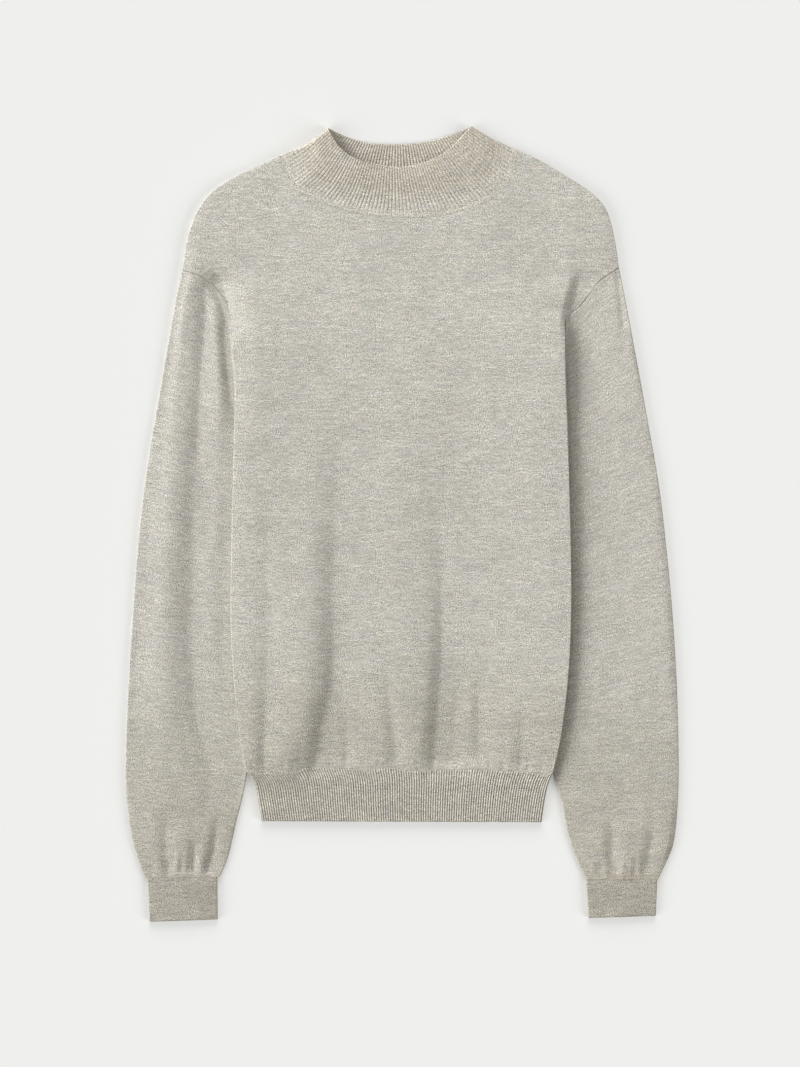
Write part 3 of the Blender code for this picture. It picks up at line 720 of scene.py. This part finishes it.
def collar_half(seam, lip, columns):
    bottom = neck_edge(seam, SEAM / 2)
    sides = []
    for side, corner in (("left", 0.0), ("right", 1.0)):
        downwards = part_of(collar_folds[side], 1, 0)
        sides.append(part_of(ending_at(downwards, bottom(corner)), 1, 0))
    return band((bottom, curve_through(lip), *sides), columns, BAND_ROWS)


def along_rows(spots):
    """How far each place lies up its column, in millimetres."""
    return running_total(length(np.diff(spots, axis=0))[..., 0].T).T


def make_collar(cloth):
    pieces = []
    for name, seam, lip, count, is_upper in (
            ("collar_front_rib", FRONT_NECK_SEAM, FRONT_LIP, COLLAR_RIBS, True),
            ("collar_back_rib", BACK_NECK_SEAM, BACK_LIP, BACK_COLLAR_RIBS, False)):
        spots = collar_half(seam, lip, count * COLUMNS_PER_RIB)
        up = along_rows(spots)
        heights = front_collar_heights(up) if is_upper else back_collar_heights
        rise = COLLAR_RIB_RISE * (1 - 0.5 * smooth(-55, -105, spots[..., 0]))
        rise = rise if is_upper else rise * BACK_RIB_SHARE
        pieces.append(make_band(name, spots, heights, is_upper, count, rise,
                                up[-1] - up, up, COLLAR_PLAIN,
                                lambda x: 0.12 + 0.3 * smooth(40, -50, x), COLLAR_BEADS,
                                cloth, shown_inside=not is_upper))
    return pieces


def hem_top(start, end):
    """The hem's upper edge, which strays up and down with its seam."""

    def at(share):
        spots = straight(start, end)(share)
        spots[..., 1] += from_table(HEM_WAVE, spots[..., 0])
        return spots

    return at


def make_hem(cloth):
    left, right = (part_of(hem_folds[side], 1, 0) for side in SIDES)
    outline = (straight(left(0.0), right(0.0)), hem_top(left(1.0), right(1.0)), left, right)
    pieces = []
    for name, is_upper, per_rib in (("hem_front_rib", True, COLUMNS_PER_RIB),
                                    ("hem_back_rib", False, BACK_HEM_COLUMNS)):
        spots = band(outline, HEM_RIBS * per_rib, 1 - BAND_ROWS[::-1])
        up = along_rows(spots)
        pieces.append(make_band(name, spots, hem_heights, is_upper, HEM_RIBS, HEM_RIB_RISE,
                                up, up[-1] - up, HEM_PLAIN,
                                lambda x: 0.55 + 0.15 * waves(x, 0 * x, 9, 2.0),
                                HEM_BEADS, cloth))
    return pieces


# Sleeves and cuffs

SLEEVE_EDGE = 4.6  # height of a sleeve's folds
ARMHOLE_BLEND = 0.17  # share of the sleeve over which it settles from the armhole's shape
UNDERARM_BLEND = 0.07  # and over which its inner fold settles

# How much higher a sleeve stands, by the share of its width from its outer fold: beside the
# armpit, and further down
SLEEVE_CROWN = {
    "left": (((0, 0), (0.04, 0), (0.22, 2.2), (0.6, 2.2), (0.74, 2.6), (1, 0.1)),
             ((0, 0), (0.03, 0), (0.33, 3.0), (0.62, 1.1), (0.74, 1.1), (1, -0.9))),
    "right": (((0, 0.9), (0.06, 1.5), (0.6, 0.2), (0.85, -0.2), (1, -1.2)),) * 2,
}
CUFF_BLEND = 0.03  # share of the sleeve over which it closes down to the cuff,
CUFF_PULL = 1.35  # and how hard the cuff draws it down there
CUFF_BILLOW = 2.2  # how far a sleeve swells out over its cuff,
CUFF_GATHERS = 1.1  # and how deep its small gathers are there
CUFF_PUFF = 0.9  # how much higher the middle of a cuff stands
FACE_COLUMNS = 84  # columns across each face of a sleeve
SEAM_RIDGE = {"left": 0.6, "right": -0.4}  # how far the armhole's seam stands up
KNIT_START = {"left": 900.0, "right": 1700.0}  # where on the marl each sleeve is cut

# Rings down a sleeve: stretches of its length, and how many rings are in each
RING_STRETCHES = ((0, 0.006, 8), (0.006, 0.05, 20), (0.05, 0.95, 144), (0.95, 0.994, 28),
                  (0.994, 1, 7))
SLEEVE_RINGS = np.concatenate([np.linspace(*stretch, endpoint=False)
                               for stretch in RING_STRETCHES] + [np.ones(1)])
CUFF_FACE_RIBS = 27
CUFF_RIB_RISE = 0.035  # the cuffs are ribbed so finely that they look nearly plain
CUFF_FACE_COLUMNS = CUFF_FACE_RIBS * 6


def across_tube(face_columns, width, outer_roll, inner_roll, depth):
    """Shares across a flattened tube, how far each is turned over, and which face it is on."""
    turn_in = np.arange(face_columns + 1)
    near = np.minimum(turn_in, face_columns - turn_in)
    turn = np.minimum(near / ROLL_STEPS, 1) * math.pi / 2
    radius = np.where(turn_in <= face_columns / 2, outer_roll, inner_roll)
    rolled = mix(depth, radius, 1 - np.cos(turn))
    flat = mix(radius, width / 2, (near - ROLL_STEPS) / (face_columns / 2 - ROLL_STEPS))
    reach = np.where(near < ROLL_STEPS, rolled, flat) / width
    share = np.where(turn_in <= face_columns / 2, reach, 1 - reach)
    share = np.concatenate((share, share[:, -2:0:-1]), axis=1)
    turn = np.concatenate((turn, turn[-2:0:-1]))
    return share, turn, np.arange(len(turn)) <= face_columns


def rings_of(spots, middle, face, turn, along):
    """A tube's rings of places, and how far round it and along it each is on its knit."""
    z = mix(middle, face, np.sin(turn))
    rings = np.concatenate((spots, z[..., None]), axis=-1)
    closed = np.concatenate((rings, rings[:, :1]), axis=1)
    across = running_total(length(np.diff(closed, axis=1))[..., 0])
    across = across - across[:, across.shape[1] // 2][:, None] / 2
    return rings, np.stack((across, along[:, None] + 0 * across), axis=-1)


def sleeve_curves(side):
    """The sleeve's outer and inner folds, from the armhole to the cuff."""
    outwards = OUTWARDS[side]
    armpit_x, armpit_y = ARMHOLES[side][0]
    hidden = [(side_x(side, y) - outwards * from_table(SLEEVE_TUCK, y), y)
              for y in TUCK_STATIONS if y < armpit_y - 3]
    start = (armpit_x + outwards * SEAM, armpit_y - 0.1)
    inner = curve_through((start, *hidden, *SLEEVE_INNER[side]))
    return curve_through(SLEEVE_OUTER[side]), inner


def sleeve_wall(side, depth):
    """One face of a sleeve's wall, ring by ring, and where each place is on the knit."""
    outer, inner = sleeve_curves(side)
    seam = moved(armholes[side], SEAM * -OUTWARDS[side])
    along = SLEEVE_RINGS
    closing = CUFF_PULL * smooth(1 - CUFF_BLEND, 1 + CUFF_BLEND / 2, along)[:, None]
    start, end = outer(along), inner(along)
    from_armpit = armholes[side](0.0)[1] - end[:, 1:]
    inner_roll = mix(ARMPIT_ROLL, SLEEVE_ROLL, smooth(48, 75, from_armpit))
    share, turn, is_upper = across_tube(FACE_COLUMNS, length(end - start), SLEEVE_ROLL,
                                        inner_roll, depth)
    part = share[..., None]
    bow = seam(1 - share) - mix(start[0], end[0], part)
    bow = bow * (1 - smooth(0, 0.06, along))[:, None, None]
    spots = mix(start[:, None], end[:, None], part) + bow
    blend = mix(ARMHOLE_BLEND, UNDERARM_BLEND, smooth(0.3, 0.9, share))
    settled = smooth(0, 1, along[:, None] / blend)
    edge = mix(BODY_DEPTH, SLEEVE_EDGE, settled)
    beside, below = (from_table(rows, share) for rows in SLEEVE_CROWN[side])
    crown = mix(below, beside, smooth(10, 130, end[:, 1:]))
    crown = crown * settled * (1 - 0.6 * smooth(-150, -250, end[:, 1:]))
    armhole = armholes[side](1 - share)
    low = side_lift(armhole[..., 0], armhole[..., 1]) * (1 - settled)
    x, y = spots[..., 0], spots[..., 1]
    held = (smooth(0, 0.06, share) * smooth(1, 0.97, share) - 1) * settled + 1
    gathers = CUFF_GATHERS * waves(x, y * 0.15, 5.0, 4.0)
    gathers = gathers * smooth(0.945, 0.99, along)[:, None]
    swell = CUFF_BILLOW * smooth(0.84, 0.95, along) * smooth(1.012, 0.95, along)
    gathers = (gathers + swell[:, None]) * np.sin(math.pi * np.clip(share, 0, 1))
    pressed = creases(x, y, SHOULDER_CREASES)
    bumps = (unevenness(x, y) - creases(x, y, SLEEVE_CREASES) - pressed + gathers) * held
    height = edge + crown + bumps * (1 - 0.85 * closing)
    height = height + (CUFF_DEPTH + 0.3 - edge - crown) * closing
    high = low + height
    low = np.maximum(low - pressed, 0)
    high = at_least(low + THINNEST, high)
    middle = low + edge / 2 + (CUFF_DEPTH / 2 - edge / 2) * closing
    middle = np.minimum(middle, (low + high) / 2)
    from_seam = along * curve_length(outer)
    ridge = SEAM_RIDGE[side] * np.exp(-((from_seam - 1.1) / 0.8)**2)[:, None]
    ridge = ridge * smooth(0.1, 0.35, share) * (0.7 + 0.3 * np.cos(share * 110))
    face = np.where(is_upper, high - depth + ridge, low + depth)
    return rings_of(spots, middle, face, turn, from_seam)


def cuff_wall(side, depth):
    starts, ends = np.array(CUFFS[side], float)
    down = (ends - starts).sum(axis=0)
    starts = starts + down * SEAM / length(down)
    outer, inner = (straight(starts[edge], ends[edge])(BAND_ROWS) for edge in (0, 1))
    share, turn, is_upper = across_tube(CUFF_FACE_COLUMNS, length(inner - outer), CUFF_ROLL,
                                        CUFF_ROLL, depth)
    spots = mix(outer[:, None], inner[:, None], share[..., None])
    x, y = spots[..., 0], spots[..., 1]
    height = length(ends - starts).mean()
    from_edge = ((1 - BAND_ROWS) * height)[:, None]
    rise = CUFF_RIB_RISE * ribs(share * CUFF_FACE_RIBS, 7.0) - edge_drop(from_edge)
    puff = CUFF_PUFF * np.sin(math.pi * np.clip(share, 0, 1))
    puff = puff * smooth(0, 0.3, BAND_ROWS)[:, None]
    bumps = 0.25 * waves(x, y, 25, 9.0) * np.sin(turn)
    face = np.where(is_upper, CUFF_DEPTH - depth + puff + bumps, depth)
    if depth == 0:
        face = face + np.where(is_upper, rise, np.maximum(-rise, 0) * 0.3)
    return rings_of(spots, CUFF_DEPTH / 2, face, turn, BAND_ROWS * height)


def make_tube(name, wall, side, thickness, cloth, knit_start=0.0):
    outer, knit = wall(side, 0.0)
    inner, _ = wall(side, thickness)
    knit[..., 0] += knit_start
    grid = tube_grid(outer.shape[1], outer.shape[0] - 1)
    return finished(name, grid, outer, inner, knit, cloth)


# The marl knit

def set_inputs(tree, node, inputs):
    """Give a node's inputs their values, or links from other nodes."""
    for key, value in inputs.items():
        if isinstance(value, bpy.types.NodeSocket):
            tree.links.new(value, node.inputs[key])
        else:
            node.inputs[key].default_value = value


def wire(tree, kind, inputs, **settings):
    """Add a node with these inputs and settings."""
    made = tree.nodes.new(kind)
    for key, value in settings.items():
        setattr(made, key, value)
    set_inputs(tree, made, inputs)
    return made


def maths(tree, operation, *values, clamp=False):
    return wire(tree, "ShaderNodeMath", dict(enumerate(values)), operation=operation,
                use_clamp=clamp).outputs[0]


def mottle(tree, knit, size_x, size_y, seed, detail=1.0):
    """Soft noise of about 0 to 1 on the knit, with spots of this size in millimetres."""
    spot = wire(tree, "ShaderNodeMapping",
                {"Vector": knit, "Location": (seed, seed * 1.7, seed * 0.3),
                 "Scale": (1 / (size_x * MM), 1 / (size_y * MM), 1.0)}).outputs[0]
    return wire(tree, "ShaderNodeTexNoise",
                {"Vector": spot, "Scale": 1.0, "Detail": detail, "Roughness": 0.6},
                noise_dimensions="2D").outputs["Fac"]


def blended(tree, factor, first, second):
    return wire(tree, "ShaderNodeMix", {0: factor, 6: first, 7: second},
                data_type="RGBA").outputs[2]


def stitches(tree, knit, wale, course):
    """Rows of knit stitches: the height of the two slanting legs of each, from 0 to 1."""
    do = partial(maths, tree)
    parts = wire(tree, "ShaderNodeSeparateXYZ", {"Vector": knit})
    across = do("MULTIPLY", parts.outputs[0], 1 / (wale * MM))
    up = do("MULTIPLY", parts.outputs[1], 1 / (course * MM))
    leg = do("MULTIPLY", do("PINGPONG", across, 0.5), 2.0)
    turn = do("MULTIPLY", do("MULTIPLY_ADD", leg, 0.6, up), 2 * math.pi)
    row = do("MULTIPLY_ADD", do("COSINE", turn), 0.35, 0.65)
    rounding = do("SINE", do("MULTIPLY", leg, math.pi))
    rounding = do("POWER", do("MAXIMUM", rounding, 0.0), 0.6)
    return do("MULTIPLY", row, rounding), leg


# The marl's mottling: spot sizes across and along the knit, seed, detail and strength
MARL = ((0.95, 0.95, 11.3, 0.0, 1.25),
        (8.0, 1.7, 3.1, 1.0, 0.55),
        (24.0, 3.4, 41.7, 1.0, 0.28),
        (55.0, 18.0, 5.7, 2.0, 0.2))

# Its cooler and rosier patches: spot sizes, seed, the noise left out, and their shares of
# the marl's red, green and blue
HUES = ((26, 11, 31.0, 0.5, (0.978, 0.982, 1.02)),
        (19, 9, 47.0, 0.56, (1.015, 0.985, 1.005)))
PAINTED_SHADE_SHARES = (0.32, 0.2, 0.0)  # the shares of the marl's red, green and blue left in the painted shade: a warm dark for the shadows of gathers and the shade near the collar's lip


def marl_knit(name, shades, gauge, painted_groove_shade=0.0, plain=0.0, painted_shade_stretches=()):
    """Fine knit in a warm-grey marl yarn; gauge is its wales' width and courses' height.

    shades are its shares of the marl's red, green and blue.  painted_groove_shade paints shade
    into the valleys between ribs, less so on a plain width beside the seam.
    painted_shade_stretches holds stretches along the knit (start, end, greatest share) over
    which
    a warm painted shade deepens: the shadows of small gathers towards the hem and cuffs, and
    the shade towards the collar's lip.
    """
    cloth = bpy.data.materials.new(name)
    cloth.use_nodes = True
    tree = cloth.node_tree
    do = partial(maths, tree)
    shader = tree.nodes["Principled BSDF"]
    knit = wire(tree, "ShaderNodeUVMap", {}, uv_map="knit").outputs[0]
    height, leg = stitches(tree, knit, *gauge)
    tone = 1.0
    for size_x, size_y, seed, detail, strength in MARL:
        spots = mottle(tree, knit, size_x, size_y, seed, detail)
        tone = do("MULTIPLY", tone, do("MULTIPLY_ADD", spots, strength, 1 - strength / 2))
    flecks = mottle(tree, knit, 1.9, 1.2, 23.9)
    fleck = do("MULTIPLY", do("SUBTRACT", flecks, 0.6, clamp=True), -2.5)
    tone = do("MULTIPLY", tone, do("ADD", fleck, 1.0))
    # Painted shade: the knit is darker down between its stitches' legs.
    tone = do("MULTIPLY", tone, do("MULTIPLY_ADD", height, 0.14, 0.93))
    up = wire(tree, "ShaderNodeSeparateXYZ", {"Vector": knit}).outputs[1]
    # Painted shade: the valleys between ribs are darkened, less so over the plain width beside
    # the seam.
    if painted_groove_shade:
        depth = do("MULTIPLY", do("SUBTRACT", leg, 0.5), -painted_groove_shade)
        if plain:
            fade = do("MULTIPLY_ADD", up, 1 / (0.8 * plain * MM), -0.25, clamp=True)
            depth = do("MULTIPLY", depth, fade)
        tone = do("MULTIPLY", tone, do("ADD", depth, 1.0))
    warm = np.multiply(GREY_MARL, shades)
    tint = (*warm, 1)
    for size_x, size_y, seed, least, shift in HUES:
        hues = mottle(tree, knit, size_x, size_y, seed, 2.0)
        hues = do("MULTIPLY", do("SUBTRACT", hues, least), 6.0, clamp=True)
        tint = blended(tree, hues, tint, (*np.multiply(warm, shift), 1))
    painted_shade = (*np.multiply(warm, PAINTED_SHADE_SHARES), 1)
    # Painted shade: over each stretch the colour is blended towards a warm dark.
    for start, end, share in painted_shade_stretches:
        painted_shade_share = wire(tree, "ShaderNodeMapRange",
                        {"Value": up, "From Min": start * MM, "From Max": end * MM,
                         "To Max": share}, interpolation_type="SMOOTHSTEP")
        tint = blended(tree, painted_shade_share.outputs[0], tint, painted_shade)
    colour = wire(tree, "ShaderNodeVectorMath", {0: tint, "Scale": tone},
                  operation="SCALE").outputs[0]
    fuzz = do("MULTIPLY_ADD", mottle(tree, knit, 1.0, 1.0, 61.0), 0.6, height)
    bump = wire(tree, "ShaderNodeBump",
                {"Height": fuzz, "Strength": 0.55, "Distance": 0.0003}).outputs[0]
    set_inputs(tree, shader, {"Base Color": colour, "Normal": bump, "Roughness": 0.92,
                              "Specular IOR Level": 0.2, "Sheen Weight": 0.08,
                              "Sheen Roughness": 0.55})
    return cloth


# The sweater

# Painted shade: the jersey darkens towards the hem's seam and down the sleeves to the cuffs,
# and the collar towards its lip.
jersey = marl_knit("grey_marl_jersey", (1.0, 1.0, 1.0), JERSEY_GAUGE,
                   painted_shade_stretches=((-115, -178, 0.12), (360, 520, 0.14), (560, 572, 0.14)))
collar_knit = marl_knit("grey_marl_collar", (1.028, 1.008, 0.99), RIB_GAUGE, painted_groove_shade=0.3,
                        plain=COLLAR_PLAIN, painted_shade_stretches=((6, 30, 0.14),))
# The hem's and the cuffs' lower shares are painted shade for the shade between their close
# ribs.
hem_knit = marl_knit("grey_marl_hem", (0.915, 0.895, 0.87), RIB_GAUGE, painted_groove_shade=0.7)
cuff_knit = marl_knit("grey_marl_cuffs", (0.80, 0.78, 0.745), JERSEY_GAUGE)

front = make_body_panel("front_knit", FRONT_NECK_SEAM, True, (236, 120, 24, 40), jersey)
back = make_body_panel("back_knit", BACK_NECK_SEAM, False, (108, 72, 16, 24), jersey)
collar_front, collar_back = make_collar(collar_knit)
hem_front, hem_back = make_hem(hem_knit)
sleeves = {side: make_tube(f"sleeve_{side}_knit", sleeve_wall, side, JERSEY,
                           jersey, KNIT_START[side]) for side in SIDES}
cuffs = {side: make_tube(f"cuff_{side}_rib", cuff_wall, side, RIB, cuff_knit)
         for side in SIDES}

# The solid that each piece stands for, its flat size and area in metres, and what it lies on
LAID_OUT = [
    (front, "front", (0.404, 0.575), 0.170, ["back"]),
    (back, "back", (0.404, 0.575), 0.178, []),
    (collar_front, "collar_front", (0.224, 0.084), 0.0105, ["front"]),
    (collar_back, "collar_back", (0.223, 0.063), 0.0085, []),
    (hem_front, "hem_front", (0.284, 0.047), 0.0126, ["hem_back"]),
    (hem_back, "hem_back", (0.284, 0.047), 0.0126, []),
]
for side in SIDES:
    LAID_OUT += [(sleeves[side], f"sleeve_{side}", (0.214, 0.590), 0.100, []),
                 (cuffs[side], f"cuff_{side}", (0.132, 0.042), 0.0054, [])]
for piece, solid, *_ in LAID_OUT:
    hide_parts(solid)


# Floor, light and camera

def make_floor():
    grid = bmesh.new()
    bmesh.ops.create_grid(grid, x_segments=1, y_segments=1, size=3.0)
    mesh = bpy.data.meshes.new("floor")
    grid.to_mesh(mesh)
    grid.free()
    paint = bpy.data.materials.new("white_floor")
    paint.use_nodes = True
    shader = paint.node_tree.nodes["Principled BSDF"]
    set_inputs(paint.node_tree, shader, {
        "Base Color": (0.8, 0.805, 0.804, 1), "Roughness": 0.9, "Specular IOR Level": 0.1,
        "Emission Color": (1.0, 1.0, 0.985, 1), "Emission Strength": 0.18})
    mesh.materials.append(paint)
    floor = added("floor", mesh)
    return floor


def make_light(name, lamp, place, lights_up):
    """A lamp that shines from its place to the middle of the sweater, on these objects."""
    light = added(name, lamp)
    light.location = place
    light.rotation_euler = Vector(place).to_track_quat("Z", "Y").to_euler()
    group = bpy.data.collections.new(f"lit_by_{name}")
    for item in lights_up:
        group.objects.link(item)
    light.light_linking.receiver_collection = group


# Wide soft lights: the angle round to each from the right, its angle up and its width, in
# degrees, and its strength
WINDOW = (152, 24, 32, 3.75)
REFLECTOR = (-25, 12, 50, 0.4)
FLOOR_LAMPS = ((90, 30, 40, 1.0), (203, 30, 40, 0.95), (337, 30, 40, 1.35))


def make_wide_light(name, light, lights_up, colour=(1.0, 1.0, 1.0)):
    *angles, energy = light
    side, height, width = map(math.radians, angles)
    lamp = bpy.data.lights.new(name, "SUN")
    lamp.energy = energy
    lamp.angle = width
    lamp.color = colour
    place = (3 * math.cos(side), 3 * math.sin(side), 3 * math.tan(height))
    make_light(name, lamp, place, lights_up)


def make_lights(floor, cloth):
    """A window on the left, a softbox over the collar, a reflector, and lamps for the floor."""
    make_wide_light("window", WINDOW, cloth, (1.0, 0.995, 0.985))
    softbox = bpy.data.lights.new("softbox", "AREA")
    softbox.shape = "DISK"
    softbox.size = 0.8
    softbox.energy = 3.4
    make_light("softbox", softbox, (-0.35, 1.1, 0.9), cloth)
    make_wide_light("reflector", REFLECTOR, cloth)
    for number, light in enumerate(FLOOR_LAMPS):
        make_wide_light(f"floor_lamp_{number}", light, [floor])
    world = bpy.data.worlds.new("studio")
    world.use_nodes = True
    set_inputs(world.node_tree, world.node_tree.nodes["Background"],
               {"Color": (1.0, 0.985, 0.94, 1), "Strength": 0.33})
    bpy.context.scene.world = world
    bpy.context.scene.view_settings.view_transform = "Standard"


CAMERA_HEIGHT = 3.2
VIEW_HEIGHT = 0.987  # the length of table that the camera takes in
SENSOR = 36.0


def make_camera():
    camera = added("camera", bpy.data.cameras.new("camera"))
    camera.data.sensor_width = SENSOR
    camera.data.lens = SENSOR * CAMERA_HEIGHT / VIEW_HEIGHT
    camera.location = (-0.0020, -0.0083, CAMERA_HEIGHT)
    bpy.context.scene.camera = camera


make_lights(make_floor(), [front, back, collar_front, collar_back, hem_front, hem_back,
                           *sleeves.values(), *cuffs.values()])
make_camera()
